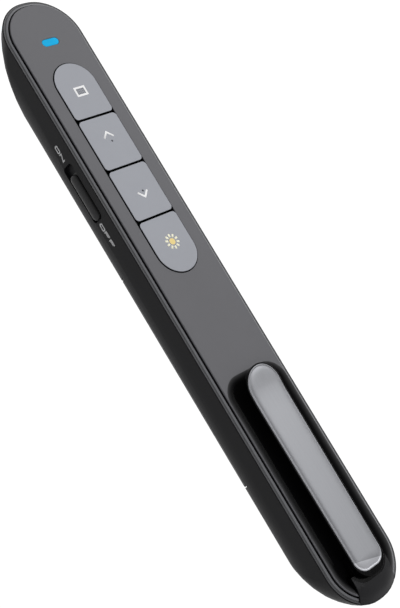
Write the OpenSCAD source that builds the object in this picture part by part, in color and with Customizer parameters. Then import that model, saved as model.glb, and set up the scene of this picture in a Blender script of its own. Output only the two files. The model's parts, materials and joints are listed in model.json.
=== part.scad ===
// Pen-shaped wireless presentation clicker: four keys, a side switch, a laser at the nose and a pocket clip.
// Millimetres. +Y is the nose, +Z the key side. The origin is on the underside, midway along the length.

/* [Body] */
// Overall width across the trim
body_w = 19.7; // [19.3:0.1:20.4]
// Radius of the round lower edges
belly_r = 8.1; // [7.6:0.1:8.6]
// Corner radius of the nose and tail in plan
end_r = 9.3; // [9:0.1:9.4]
// Length over which the underside rises to the nose
nose_rise = 27; // [25:0.5:28]
// Length over which the underside rises to the tail
tail_rise = 15.5; // [14:0.5:18]
// Length of the nose in front of the keys
nose_len = 16; // [15.6:0.1:18]
// Length of the tail behind the receiver's dock
tail_len = 12; // [11.6:0.1:13]
// Depth of the case rim below the top face
rim_drop = 1; // [0.9:0.1:1.2]
// Wall of the bottom case
wall = 1.2; // [1:0.1:1.4]
// Wall of the battery door
door_wall = 0.8; // [0.7:0.1:1.1]

/* [Cover] */
// Thickness of the cover plate
cover_t = 1.2; // [1:0.1:1.3]
// Distance from the body's outline to the cover's edge
cover_inset = 1.35; // [1.25:0.05:1.5]
// Depth of the sunk panel under the clip
panel_depth = 0.8; // [0.5:0.1:0.9]
// Thickness of the cover at the sunk panel
panel_t = 0.9; // [0.8:0.1:1.1]
// Width of the rim beside the sunk panel
panel_rim = 0.8; // [0.7:0.05:1]
// Length of the sunk panel, from the tail tip
panel_len = 51.7; // [48:0.1:54]

/* [Keys] */
// Width of the key opening
key_w = 10.6; // [10:0.1:11]
// Spacing of the two middle keys
key_pitch = 12.27; // [11.5:0.01:12.8]
// Length of the straight part of each end key
key_end = 7.95; // [7:0.05:8.5]
// Gap between neighbouring keys
key_gap = 0.5; // [0.3:0.05:0.7]
// Travel of each key
key_travel = 0.35; // [0.2:0.05:0.4]
// Height of the keys above the cover
key_proud = 0.2; // [0.1:0.05:0.3]

/* [Switch] */
// Length of the switch pocket
pocket_len = 13.2; // [12:0.1:14]
// Height of the switch pocket
pocket_h = 3.4; // [3:0.1:3.6]
// Depth of the switch pocket
pocket_depth = 0.9; // [0.6:0.1:1]
// Travel of the sliding knob
knob_travel = 2; // [1:0.1:2.5]

/* [Battery] */
// Radius of the AAA cell
cell_r = 5.25; // [5:0.05:5.5]
// Length of the AAA cell with its nub
cell_len = 44.5; // [43:0.1:46]
// Length of the bay that the contact spring takes
spring_room = 4.5; // [4:0.1:6]
// Room above the cell
cell_room = 0.15; // [0.1:0.05:0.6]

/* [Clip] */
// Half width of the clip arm
arm_hw = 4.65; // [4.2:0.05:4.9]
// Half width of the tail block
root_hw = 5.45; // [5.3:0.05:5.8]
// Length of the clip arm
arm_len = 47.4; // [42:0.1:50]
// Thickness of the clip arm
arm_t = 0.95; // [0.8:0.05:1.2]
// Gap between the cover's top face and the clip arm
arm_gap = 0.95; // [0.8:0.05:1.2]
// Narrowing of the clip's half width toward its root
arm_taper = 0.3; // [0.1:0.05:0.5]
// Rise of the clip's free end
arm_flare = 1.2; // [0.4:0.1:1.6]
// Width of the dark border round the clip's plate
plate_border = 0.2; // [0.15:0.05:0.4]
// Height by which the plate stands above the arm
plate_proud = 0.12; // [0.05:0.01:0.2]

/* [Board] */
// Depth of the circuit board's top face below the body's top
board_drop = 5.6; // [5.5:0.1:5.8]
// Thickness of the circuit board
board_t = 1; // [0.8:0.1:1.2]

/* [Receiver] */
// Width of the receiver's metal plug
plug_w = 12; // [11.8:0.1:12.2]
// Thickness of the receiver's metal plug
plug_t = 4.5; // [4.3:0.1:4.7]
// Length of the receiver's metal plug
plug_len = 12; // [11:0.1:12.2]
// Length of the receiver's cap
cap_len = 6.4; // [5:0.1:6.6]

/* [Hidden] */
$fn = 48;

eps = 0.01;                     // overlap of solids that join
gap = 0.1;                      // running gap between neighbouring pieces
slack = 0.05;                   // gap round pins and screws

// the length, from the nose back: nose, keys, battery bay, dock and tail
key_half = key_pitch + key_end;
keys_len = 2 * key_half + key_w;
key_lap = 6;                    // length of the last key that lies over the battery bay
bulkhead = 1.2;                 // thickness of the walls at the ends of the battery bay
bay_len = cell_len + spring_room;
plug_clear = 0.25;
dock_len = plug_len + cap_len + 2 * plug_clear;
dock_gap = 0.5;
body_len = nose_len + keys_len - key_lap + bay_len + bulkhead + dock_gap + dock_len + tail_len;
hw = body_w / 2;
nose_y = body_len / 2;
tail_y = -body_len / 2;
key_mid = nose_y - nose_len - keys_len / 2;
bay_front = key_mid - keys_len / 2 + key_lap;
bay_back = bay_front - bay_len;
dock_front = bay_back - bulkhead - dock_gap;
dock_back = dock_front - dock_len;

// the depth, from the underside up: door, cell and cover
cell_z = door_wall + 0.15 + cell_r;
panel_under = cell_z + cell_r + cell_room;
panel_z = panel_under + panel_t;
body_h = panel_z + panel_depth;
rim_z = body_h - rim_drop;
rise_z = rim_z - 0.1;           // height at which the ends reach their full length
nose_power = 1.5;               // power of the nose's curve; an ellipse has 2
tail_power = 1.6;

cover_hw = hw - cover_inset;
trim_inner = cover_inset - 0.15;
trim_top = body_h - 0.47;
trim_edge = [0.12, 0.12];       // inset and height of the trim's rounded outer edge
trim_lean = trim_inner - 0.15;  // how far the trim's top edge leans in
skirt_inset = cover_inset + gap;
skirt_t = 1;
skirt_h = 1.3;
skirt_z = rim_z - skirt_h;
under_z = body_h - cover_t;
panel_front = tail_y + panel_len;

key_clear = 0.2;
key_r = 0.9;
tab_t = 0.7;
tab_reach = 0.55;
tab_len = 3.2;
plunger_r = 1.5;
board_top = body_h - board_drop;
stem_h = 2.6;                   // height of the dome switches' stems above the board
stem_top = board_top + stem_h;
plunger_z = stem_top + key_travel + gap;

plate_t = 0.4;                  // thickness of the sheet-metal battery contacts
nub_len = 1.2;
nub_r = 2.6;
jacket_t = 0.12;
cell_front = bay_front - plate_t - nub_len;
cell_back = cell_front - (cell_len - nub_len);
spring_r = 2.6;
wire_r = 0.35;
contact_hw = 3.5;
contact_t = 0.3;
strip_x = -3.4;                 // place of the positive contact's strip, beside the last dome switch

door_front = bay_front - 0.5;
door_back = bay_back - 0.4;
door_clear = 0.05;
door_draft = 0.35;              // slope of the door's rear face, so that it swings clear
door_seam = cell_z - 0.8;       // height of the seam between door and case
door_tab_x = 4;
door_tab_hw = 1;
door_tab_t = 0.8;
door_tab_len = 1.3;
catch_hw = 2.2;

dock_hw = plug_w / 2 + 1.05;
dock_wall = 1;
cap_hw = dock_hw - plug_clear;
cap_t = plug_t + 0.5;
cap_recess = 0.1;               // the cap lies this far inside the body's surface
plug_z = 1.9 + cap_t / 2;       // height of the stored receiver's middle
plug_front = dock_front - plug_clear - cap_len + 2;
plug_wall = 0.3;
dock_top = plug_z + cap_t / 2 + 0.3;

arm_z = body_h + arm_gap;
arm_top = arm_z + arm_t;
arm_end = tail_y + 4.9;
arm_tip = arm_end + arm_len;
flare_len = 8;
pin_y = arm_end + 2.8;
pin_z = body_h - 0.4;
pin_r = 0.6;
neck_x = arm_hw - arm_taper - 0.2; // half width of the tail block's neck, under the arm
pin_hw = neck_x - 0.5;
knuckle_r = 1.15;
knuckle_hw = 2.5;
knuckle_t = 1.6;
knuckle_x = knuckle_hw - knuckle_t / 2;
knuckle_room = 0.25;
block_top = body_h + 0.6;
block_front = arm_end + 5.7;
block_back = arm_end - 0.4;
tongue_front = arm_end + 2;      // where the tongue widens behind the arm's sides
foot_z = dock_top + dock_wall + 0.8;
foot_t = 1.4;
foot_len = 5;
foot_front = block_front + foot_len;
foot_screw_x = 3;
foot_screw_y = foot_front - 1.8;
tongue_t = 2.6;
tongue_z = foot_z - 0.4;
tongue_dome = [[0.75, 0.45], [0.2, 1.1], [-0.3, 2], [-0.65, 3.1], [-0.8, 4.4]];  // below the top face, inset
plate_sink = 0.35;
plate_end_r = 3.6;
arm_end_r = 4;
plate_end_gap = 1.3;            // from the arm's end to the plate's end

// screw posts: x, y, height of the screw's seat, height where case and cover meet, top of the screw
post_r = 1.8;
post_x = hw - 3.8;
front_post_y = nose_y - 15.5;
front_seat = [body_h - 7.4, body_h - 5.8, body_h - 2.6];
rear_post_x = 4.4;
rear_post_y = dock_front - 4.5;
rear_seat = [dock_top + 1.3, dock_top + 2.4, panel_under - 0.4];
posts = [for (s = [-1, 1]) concat([s * post_x, front_post_y], front_seat),
         for (s = [-1, 1]) concat([s * rear_post_x, rear_post_y], rear_seat)];
screw_r = 0.8;
head_r = 1.5;
head_h = 1.2;
flat_head_h = 0.9;
hook_len = 4;
hook_h = 0.8;
hook_reach = 0.5;
hook_y = [bay_front + 6, bay_back + 6];

board_hw = hw - 2.5;
board_under = board_top - board_t;
board_front = nose_y - 9.2;
board_back = bay_front + bulkhead + 0.2;
board_neck = front_post_y - 2.7;
neck_hw = post_x - post_r - 0.3;
lead_x = board_hw + 0.75;       // place of the contact strip beside the board
board_post_r = 1.6;
board_screw_len = 4;
board_post_x = board_hw - board_post_r;
board_posts = [[board_post_x, board_neck - 3], [-board_post_x, board_back + 1.9]];

led_y = nose_y - 10.5;
led_w = 4.2;
led_d = 1.6;
flange_t = 0.6;                 // thickness and reach of the light's flange
pipe_r = 0.8;

laser_z = body_h - 3.5;
laser_r = 1.6;
laser_back = board_front - 0.3;
laser_len = 4.5;
laser_bore = 1.1;
laser_inner = 1.2;
window_t = 0.6;
window_y = nose_y - 3.5;

pocket_y = key_mid - 1;
pocket_z = body_h - 4.4;
knob_len = pocket_len - knob_travel - 2 * gap;
knob_h = pocket_h - 0.5;
knob_proud = 0.35;
knob_y = pocket_y - pocket_len / 2 + gap + knob_len / 2;
peg_h = 1.4;
peg_len = 2;
peg_reach = 0.8;                // how far the peg enters the slide switch
boss_t = 1.2;
boss_x = hw - pocket_depth - boss_t;
switch_d = 2.55;
switch_h = 2.4;
switch_len = peg_len + knob_travel + 5.8;

tact = 4.5;
tact_h = 2.2;
key_edges = [key_mid + keys_len / 2, key_mid + key_pitch, key_mid, key_mid - key_pitch,
             key_mid - keys_len / 2];
tact_y = [(key_edges[0] + key_edges[1]) / 2, (key_edges[1] + key_edges[2]) / 2,
          (key_edges[2] + key_edges[3]) / 2, board_back + 2.4];

// ---- outlines -------------------------------------------------------------------------------

// A circular arc of points
function arc(cx, cy, r, from, to, n = 10) =
    [for (k = [0 : n]) let (t = from + (to - from) * k / n) [cx + r * cos(t), cy + r * sin(t)]];

// A long shape with round corners at both ends
function slab_outline(w, front, back, r) = concat(
    arc(w - r, front - r, r, 0, 90),
    arc(r - w, front - r, r, 90, 180),
    arc(r - w, back + r, r, 180, 270),
    arc(w - r, back + r, r, 270, 360));

// How far a quarter ellipse, or a curve of another power, has drawn in at height z below its centre height c
function drawn_in(z, c, inset, reach, power = 2) =
    z >= c ? 0 : (reach - inset) * (1 - pow(max(0, 1 - pow((c - z) / (c - inset), power)), 1 / power));

// The body's plan outline at height z, drawn in by an inset
function body_outline(z, inset) =
    let (w = hw - inset - drawn_in(z, belly_r, inset, belly_r))
    slab_outline(w, nose_y - inset - drawn_in(z, rise_z, inset, nose_rise, nose_power),
                 tail_y + inset + drawn_in(z, rise_z, inset, tail_rise, tail_power),
                 min(w - 0.02, end_r - inset));

// A closed solid through a stack of outlines, each given as [height, points]
module loft(levels) {
    n = len(levels[0][1]);
    last = (len(levels) - 1) * n;
    points = [for (l = levels) for (p = l[1]) [p[0], p[1], l[0]]];
    walls = [for (a = [0 : n : last - n]) for (j = [0 : n - 1]) let (m = (j + 1) % n)
             each [[a + j, a + n + j, a + n + m], [a + j, a + n + m, a + m]]];
    polyhedron(points, concat([[for (j = [0 : n - 1]) j]], walls, [[for (j = [n - 1 : -1 : 0]) last + j]]));
}

function level(z, inset) = [z, body_outline(z, inset)];

// The boat-shaped body below the rim, drawn in by an inset
module body_form(inset, top = rim_z) {
    steps = 12;
    loft(concat([for (k = [0 : steps]) level(inset + (rise_z - inset) * (1 - cos(90 * k / steps)), inset)],
                [level(top, inset)]));
}

module body_prism(inset, z0, z1) {
    translate([0, 0, z0]) linear_extrude(z1 - z0) polygon(body_outline(rise_z, inset));
}

module block(x0, x1, y0, y1, z0, z1) {
    translate([x0, y0, z0]) cube([x1 - x0, y1 - y0, z1 - z0]);
}

module rod_x(r, x0, x1) {
    translate([x0, 0, 0]) rotate([0, 90, 0]) cylinder(r = r, h = x1 - x0);
}

module rod_y(r, y0, y1) {
    translate([0, y1, 0]) rotate([90, 0, 0]) cylinder(r = r, h = y1 - y0);
}

module round_rect(w, front, back, r) {
    for (x = [r - w, w - r]) for (y = [back + r, front - r]) translate([x, y]) circle(r);
    translate([-w, back + r]) square([2 * w, front - back - 2 * r]);
    translate([r - w, back]) square([2 * (w - r), front - back]);
}

// ---- shells ---------------------------------------------------------------------------------

module switch_pocket(h, depth) {
    translate([-hw - 1, pocket_y, pocket_z]) rotate([0, 90, 0])
        linear_extrude(1 + depth) round_rect(h / 2, pocket_len / 2, -pocket_len / 2, 0.8);
}

module case_ribs() {
    // walls at the ends of the battery bay, and cradles beside the cell
    for (y = [bay_front, bay_back - bulkhead]) block(-hw, hw, y, y + bulkhead, 0, skirt_z - gap);
    difference() {
        for (y = [bay_front - 12, bay_back + 12]) block(-hw, hw, y - 0.5, y + 0.5, door_seam, skirt_z - gap);
        translate([0, 0, cell_z]) rod_y(cell_r + gap, bay_back - 1, bay_front + 1);
        block(-cell_r - gap, cell_r + gap, bay_back, bay_front, 0, cell_z);
        block(lead_x - 0.25, hw, bay_back, bay_front, board_top + 0.4, board_top + 2.2);
    }
    // receiver dock, with the seat of the tail block on its roof
    block(-dock_hw - dock_wall, dock_hw + dock_wall, dock_back - dock_wall, dock_front + dock_wall,
          0, dock_top + dock_wall);
    block(-root_hw, root_hw, block_front - 4.5, foot_front, dock_top, foot_z);
    // posts for the screws
    for (p = posts) translate([p[0], p[1], 0]) cylinder(r = post_r, h = p[3] - gap);
    for (p = board_posts) for (s = [-1, 1]) translate([s * p[0], p[1], 0])
        cylinder(r = board_post_r, h = board_under);
    // laser cradle and the boss behind the side switch
    block(-2.6, 2.6, laser_back + 1, nose_y, 0, laser_z);
    block(-hw, -boss_x, pocket_y - pocket_len / 2 - 1, pocket_y + pocket_len / 2 + 1,
          pocket_z - pocket_h / 2 - 0.6, skirt_z - gap);
}

module bottom_case() {
    color([0.16, 0.16, 0.17]) difference() {
        union() {
            difference() {
                body_form(0);
                body_form(wall, rim_z + 1);
            }
            intersection() {
                body_form(wall / 2);
                case_ribs();
            }
        }
        // battery bay mouth, with notches for the door's tabs
        block(-hw - 1, hw + 1, door_back - door_clear, door_front + door_clear, -1, door_seam);
        block(-hw, hw, bay_back, bay_front, -1, door_seam);
        for (s = [-1, 1]) translate([s * door_tab_x, 0, 0])
            block(-door_tab_hw - 0.2, door_tab_hw + 0.2, bay_front - 1, bay_front + bulkhead + eps,
                  door_wall + 0.2, door_wall + 2.4);
        block(strip_x - gap, strip_x + 1 + gap, bay_front - 1, bay_front + bulkhead + 1, board_top - gap,
              board_top + 0.6);
        block(board_hw - 1, lead_x + 0.45, bay_front - 1, bay_front + bulkhead + 1, board_top - gap,
              board_top + 2.2);
        // receiver dock
        block(-dock_hw, dock_hw, dock_back, dock_front, -1, dock_top);
        // side switch
        switch_pocket(pocket_h, pocket_depth);
        block(-hw - 1, -boss_x + 1, knob_y - peg_len / 2 - gap, knob_y + peg_len / 2 + knob_travel + gap,
              pocket_z - peg_h / 2 - gap, pocket_z + peg_h / 2 + gap);
        // laser seat and opening
        translate([0, 0, laser_z]) rod_y(laser_r, laser_back, laser_back + laser_len);
        translate([0, 0, laser_z]) rod_y(laser_bore, laser_back + laser_len - 1, nose_y + 1);
        // screw holes
        for (p = posts) translate([p[0], p[1], -1]) {
            cylinder(r = head_r + slack, h = p[2] + 1);
            cylinder(r = screw_r + slack, h = p[3] + 2);
        }
        // slots for the cover's hooks
        hook_x = hw - skirt_inset + hook_reach + gap;
        for (y = hook_y) block(-hook_x, hook_x, y - hook_len / 2 - gap, y + hook_len / 2 + gap,
                               skirt_z - gap, skirt_z + hook_h + gap);
        for (p = board_posts) translate([p[0], p[1], board_top - board_screw_len - 0.2])
            cylinder(r = screw_r, h = board_screw_len);
        for (s = [-1, 1]) translate([s * foot_screw_x, foot_screw_y, foot_z - foot_t])
            cylinder(r = screw_r, h = 2);
        // notch for the tail block's tongue
        block(-root_hw - gap, root_hw + gap, tail_y - 1, tail_y + tongue_t + 1.4, tongue_z - gap, body_h);
    }
}

module key_opening(clear) {
    for (s = [-1, 1]) translate([0, key_mid + s * key_half]) circle(key_w / 2 - clear);
    translate([clear - key_w / 2, key_mid - key_half]) square([key_w - 2 * clear, 2 * key_half]);
}

module pill(w, d, clear) {
    for (s = [-1, 1]) translate([s * (w - d) / 2, 0]) circle(d / 2 + clear);
    translate([(d - w) / 2, -d / 2 - clear]) square([w - d, d + 2 * clear]);
}

module top_cover() {
    panel_hw = cover_hw - panel_rim;
    inner_hw = hw - skirt_inset - skirt_t;
    color([0.42, 0.42, 0.44]) difference() {
        union() {
            difference() {
                union() {
                    loft([level(rim_z + gap, cover_inset), level(body_h - 0.25, cover_inset),
                          level(body_h - 0.07, cover_inset + 0.06), level(body_h, cover_inset + 0.2)]);
                    body_prism(skirt_inset, skirt_z, rim_z + gap + eps);
                }
                body_prism(skirt_inset + skirt_t, skirt_z - 1, under_z);
            }
            // thicker plate under the sunk panel
            intersection() {
                body_prism(skirt_inset + skirt_t - eps, panel_under, under_z + eps);
                block(-hw, hw, tail_y, panel_front + 2, 0, body_h);
            }
            for (p = posts) translate([p[0], p[1], p[3]])
                cylinder(r = post_r, h = (p[1] > panel_front ? under_z : panel_under) - p[3] + eps);
            // hooks that snap into the case
            for (y = hook_y) for (s = [-1, 1]) translate([s * (hw - skirt_inset), y, skirt_z])
                block(-hook_reach, hook_reach, -hook_len / 2, hook_len / 2, 0, hook_h);
        }
        translate([0, 0, under_z - 1]) linear_extrude(cover_t + 2) key_opening(0);
        translate([0, led_y, under_z - 1]) linear_extrude(cover_t + 2) pill(led_w, led_d, slack);
        // sunk panel
        translate([0, 0, panel_z]) linear_extrude(panel_depth + 1)
            polygon(slab_outline(panel_hw, panel_front, tail_y + cover_inset + panel_rim,
                                 end_r - cover_inset - panel_rim));
        for (p = posts) translate([p[0], p[1], p[3] - 1]) cylinder(r = screw_r, h = p[4] - p[3] + 1);
        // room for the tail block, the laser and the switch boss
        block(-root_hw - gap, root_hw + gap, tail_y - 1, tongue_front + gap, 0, body_h + 1);
        block(-neck_x - gap, neck_x + gap, tail_y - 1, block_front + gap, 0, body_h + 1);
        block(-root_hw - gap, root_hw + gap, tail_y - 1, foot_front + gap, 0, panel_under);
        block(-2.3, 2.3, board_front, nose_y, 0, rim_z + gap);
    }
}

module trim_ring() {
    color([0.55, 0.55, 0.57]) difference() {
        loft([level(rim_z, 0), level(rim_z + trim_edge[1], trim_edge[0]), level(trim_top, trim_lean),
              level(trim_top, trim_lean + 0.2)]);
        body_prism(trim_inner, rim_z - 1, trim_top + 1);
        block(-root_hw - gap, root_hw + gap, tail_y - 1, tongue_front, 0, body_h);
    }
}

module battery_door() {
    seam = door_seam - door_clear;
    color([0.16, 0.16, 0.17]) difference() {
        union() {
            intersection() {
                difference() {
                    body_form(0);
                    body_form(door_wall);
                }
                side_profile([[door_back, -1], [door_back, 0], [door_back + door_draft, seam],
                              [door_front, seam], [door_front, -1]], hw + 1);
            }
            // tabs that hook into the case, and the catch at the other end
            for (s = [-1, 1]) translate([s * door_tab_x, door_front, door_wall]) {
                block(-door_tab_hw, door_tab_hw, -0.8, door_tab_len, 0.3, 0.3 + door_tab_t);
                block(-door_tab_hw, door_tab_hw, -0.8, -0.2, -0.3, 0.3 + door_tab_t);
            }
            block(-catch_hw, catch_hw, bay_back + gap, bay_back + 0.9, door_wall - 0.3, door_wall + 2);
        }
        // thumb grooves
        for (k = [0 : 4]) block(-3, 3, door_back + 4 + 1.4 * k, door_back + 4.6 + 1.4 * k, -1, 0.3);
    }
}

// ---- clip -----------------------------------------------------------------------------------

module side_profile(points, w) {
    rotate([90, 0, 90]) translate([0, 0, -w]) linear_extrude(2 * w) polygon(points);
}

// The body's tail above the rim, closed by a low dome
module tongue_form() {
    walls = [for (k = [0 : 4]) level(tongue_z + (rim_z - tongue_z) * k / 4, 0)];
    loft(concat(walls, [for (p = tongue_dome) level(body_h - p[0], p[1])]));
}

module tail_block() {
    color([0.2, 0.2, 0.21]) difference() {
        intersection() {
            union() {
                side_profile([[block_back, foot_z], [block_back, block_top], [block_front, block_top],
                              [block_front, foot_z]], neck_x);
                side_profile([[tail_y - 1, tongue_z], [tail_y - 1, arm_top], [block_back, arm_top],
                              [block_back, block_top], [tongue_front, block_top], [tongue_front, foot_z],
                              [tail_y + tongue_t, foot_z], [tail_y + tongue_t, tongue_z]], root_hw);
                block(-root_hw + 0.2, root_hw - 0.2, block_front - 1, foot_front, foot_z, foot_z + foot_t);
            }
            tongue_form();
        }
        // slot for the clip's knuckle, and the bore of its pin
        block(-knuckle_hw - gap, knuckle_hw + gap, pin_y - knuckle_r - knuckle_room,
              pin_y + knuckle_r + knuckle_room, pin_z - knuckle_r - knuckle_room, body_h + 1);
        translate([0, pin_y, pin_z]) rod_x(pin_r, -pin_hw, pin_hw);
        for (s = [-1, 1]) translate([s * foot_screw_x, foot_screw_y, foot_z - 1])
            cylinder(r = screw_r + slack, h = foot_t + 2);
    }
}

// Plan of the clip, drawn in by a border
function clip_plan(border, end, end_r0) = let (w = arm_hw - arm_taper - border) concat(
    arc(0, arm_tip - arm_hw, arm_hw - border, 0, 180, 16),
    arc(end_r0 - w, end + end_r0, end_r0, 180, 270, 8),
    arc(w - end_r0, end + end_r0, end_r0, 270, 360, 8));

// Rise of the clip's free end at a place along the body
function flare(y) = arm_flare * pow(max(0, y - arm_tip + flare_len) / flare_len, 2);

// Side view of a strip that follows the flare, between two heights
function strip(z0, z1, end) = let (n = 6, ys = [for (k = [0 : n]) arm_tip - flare_len * (1 - k / n)])
    concat([[end, z0]], [for (y = ys) [y, z0 + flare(y)]],
           [for (k = [n : -1 : 0]) [ys[k], z1 + flare(ys[k])]], [[end, z1]]);

module clip_arm() {
    color([0.03, 0.03, 0.035]) difference() {
        union() {
            intersection() {
                side_profile(strip(arm_z, arm_top, arm_end), hw);
                translate([0, 0, body_h]) linear_extrude(8)
                    polygon(clip_plan(0, arm_end, arm_end_r));
            }
            for (s = [-1, 1]) intersection() {
                translate([s * knuckle_x, pin_y, pin_z]) rod_x(knuckle_r, -knuckle_t / 2, knuckle_t / 2);
                block(-hw, hw, pin_y - 3, pin_y + 3, 0, arm_z + 0.3);
            }
            for (s = [-1, 1]) block(s * knuckle_x - knuckle_t / 2, s * knuckle_x + knuckle_t / 2,
                                    pin_y - knuckle_r, pin_y + knuckle_r, pin_z, arm_z + 0.3);
        }
        clip_plate_form(0);
        translate([0, pin_y, pin_z]) rod_x(pin_r + slack, -hw, hw);
    }
}

module clip_plate_form(proud) {
    intersection() {
        side_profile(strip(arm_top - plate_sink, arm_top + (proud > 0 ? proud : 1),
                           arm_end + plate_end_gap), hw);
        translate([0, 0, body_h]) linear_extrude(8)
            polygon(clip_plan(plate_border, arm_end + plate_end_gap, plate_end_r));
    }
}

module clip_plate() {
    color([0.66, 0.67, 0.69]) clip_plate_form(plate_proud);
}

module clip_pin() {
    color("silver") translate([0, pin_y, pin_z]) rod_x(pin_r, -pin_hw + slack, pin_hw - slack);
}

module clip_spring() {
    wire = 0.2;
    color("silver") translate([0, pin_y, pin_z]) for (k = [-1 : 1]) translate([k * (2 * wire - 0.02), 0, 0])
        rotate([0, 90, 0]) rotate_extrude() translate([pin_r + wire + 0.02, 0]) circle(wire, $fn = 16);
}

// ---- keys -----------------------------------------------------------------------------------

// One key between two places along the body, with a plunger over its switch
module key(front, back, plunger_y) {
    front_end = front > key_mid + key_half;
    back_end = back < key_mid - key_half;
    y1 = front_end ? key_mid + key_half + key_r : front - key_gap / 2;
    y0 = back_end ? key_mid - key_half - key_r : back + key_gap / 2;
    tab_top = under_z - gap;
    color([0.66, 0.67, 0.71]) union() {
        translate([0, 0, under_z]) linear_extrude(cover_t + key_proud) {
            round_rect(key_w / 2 - key_clear, y1, y0, key_r);
            if (front_end) translate([0, key_mid + key_half]) circle(key_w / 2 - key_clear);
            if (back_end) translate([0, key_mid - key_half]) circle(key_w / 2 - key_clear);
        }
        // tabs under the cover keep the key in
        for (s = [-1, 1]) translate([s * key_w / 2, plunger_y, tab_top - tab_t])
            block(-tab_reach - 0.7, tab_reach, -tab_len / 2, tab_len / 2, 0, tab_t);
        for (s = [-1, 1]) translate([s * (key_w / 2 - 1.1), plunger_y, tab_top - tab_t])
            block(-0.7, 0.7, -tab_len / 2, tab_len / 2, 0, tab_t + gap + eps);
        translate([0, plunger_y, plunger_z]) cylinder(r = plunger_r, h = under_z - plunger_z + eps);
    }
}

module key_screen() { key(key_edges[0], key_edges[1], tact_y[0]); }
module key_page_up() { key(key_edges[1], key_edges[2], tact_y[1]); }
module key_page_down() { key(key_edges[2], key_edges[3], tact_y[2]); }
module key_laser() { key(key_edges[3], key_edges[4], tact_y[3]); }

module switch_knob() {
    face_x = -hw - knob_proud;
    floor_x = -hw + pocket_depth - gap;
    color([0.2, 0.2, 0.21]) union() {
        translate([face_x, knob_y, pocket_z]) rotate([0, 90, 0])
            linear_extrude(floor_x - face_x) round_rect(knob_h / 2, knob_len / 2, -knob_len / 2, 0.7);
        block(floor_x - eps, -board_hw + peg_reach, knob_y - peg_len / 2, knob_y + peg_len / 2,
              pocket_z - peg_h / 2, pocket_z + peg_h / 2);
    }
}

// ---- electronics ----------------------------------------------------------------------------

module main_board() {
    color([0.05, 0.3, 0.16]) difference() {
        union() {
            block(-board_hw, board_hw, board_back, board_neck, board_under, board_top);
            block(-neck_hw, neck_hw, board_neck - 1, board_front, board_under, board_top);
        }
        for (p = board_posts) translate([p[0], p[1], 0]) cylinder(r = screw_r + slack, h = body_h);
    }
}

module tact_switches() {
    color([0.75, 0.75, 0.77]) for (y = tact_y) translate([0, y, board_top]) union() {
        translate([-tact / 2, -tact / 2, 0]) cube([tact, tact, tact_h]);
        cylinder(r = 1.1, h = stem_h);
    }
}

module slide_switch() {
    mid = knob_y + knob_travel / 2;
    color([0.7, 0.7, 0.72]) translate([-board_hw, mid, board_top]) difference() {
        block(0.15, switch_d + 0.15, -switch_len / 2, switch_len / 2, 0, switch_h);
        block(-1, peg_reach + 0.4, -(peg_len + knob_travel) / 2 - 0.4, (peg_len + knob_travel) / 2 + 0.4,
              pocket_z - board_top - peg_h / 2 - 0.15, pocket_z - board_top + peg_h / 2 + 0.15);
    }
}

module led_chip() {
    color([0.9, 0.95, 1]) block(-0.8, 0.8, led_y - 0.4, led_y + 0.4, board_top, board_top + 0.7);
}

module led_lens() {
    flange_z = under_z - flange_t;
    color([0.1, 0.65, 0.95]) translate([0, led_y, 0]) union() {
        translate([0, 0, flange_z]) linear_extrude(cover_t + flange_t) pill(led_w, led_d, 0);
        translate([0, 0, flange_z]) linear_extrude(flange_t) pill(led_w, led_d, flange_t);
        translate([0, 0, board_top + 0.85]) cylinder(r = pipe_r, h = flange_z - board_top - 0.85 + eps);
    }
}

module laser_barrel() {
    color("goldenrod") translate([0, 0, laser_z]) difference() {
        rod_y(laser_r, laser_back, laser_back + laser_len);
        rod_y(laser_inner, laser_back - 1, laser_back + laser_len + 1);
    }
}

module laser_diode() {
    color([0.8, 0.8, 0.82]) translate([0, 0, laser_z]) rod_y(laser_inner, laser_back, laser_back + 2.2);
}

module laser_lens() {
    lens_front = laser_back + laser_len - 0.4;
    color([0.85, 0.9, 0.95]) translate([0, 0, laser_z]) rod_y(laser_inner, lens_front - 1, lens_front);
}

module laser_window() {
    color([0.35, 0.05, 0.05]) translate([0, 0, laser_z]) rod_y(laser_bore, window_y, window_y + window_t);
}

// A part on the board: its middle along and across, its two sizes, its height
module chip(x, y, w, d, h, under = true) {
    block(x - w / 2, x + w / 2, y - d / 2, y + d / 2, under ? board_under - h : board_top,
          under ? board_under : board_top + h);
}

module radio_chip() {
    color([0.08, 0.08, 0.08]) chip(0, key_mid + 8.5, 5, 5, 0.9);
}

module crystal() {
    color("silver") chip(4.85, key_mid + 8.6, 2.5, 3.2, 0.8);
}

module board_parts() {
    color([0.55, 0.42, 0.3]) {
        for (k = [0 : 4]) chip(-5.5, key_mid - 9 + 3 * k, 1, 1.6, 0.6);
        for (k = [0 : 3]) chip(5, key_mid - 11.6 + 4 * k, 1.6, 0.8, 0.5);
        for (k = [0 : 2]) chip(5.5, key_mid + 2.4 + 5 * k, 1.4, 0.9, 0.6, false);
    }
}

// A pan-head screw standing on its head, shank up
module screw(length, head) {
    translate([0, 0, -head]) cylinder(r = head_r, h = head);
    cylinder(r = screw_r, h = length);
}

module board_screws() {
    color("silver") for (p = board_posts) translate([p[0], p[1], board_top]) rotate([180, 0, 0])
        screw(board_screw_len, flat_head_h);
}

module case_screws() {
    color("silver") for (p = posts) translate([p[0], p[1], p[2]]) screw(p[4] - p[2], head_h);
}

module tail_screws() {
    color("silver") for (s = [-1, 1]) translate([s * foot_screw_x, foot_screw_y, foot_z + foot_t])
        rotate([180, 0, 0]) screw(foot_t + 1.2, flat_head_h);
}

// ---- power ----------------------------------------------------------------------------------

module battery_cell() {
    color("silver") translate([0, 0, cell_z]) union() {
        rod_y(cell_r - jacket_t, cell_back, cell_front);
        rod_y(nub_r, cell_front - jacket_t, cell_front + nub_len);
    }
}

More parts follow.
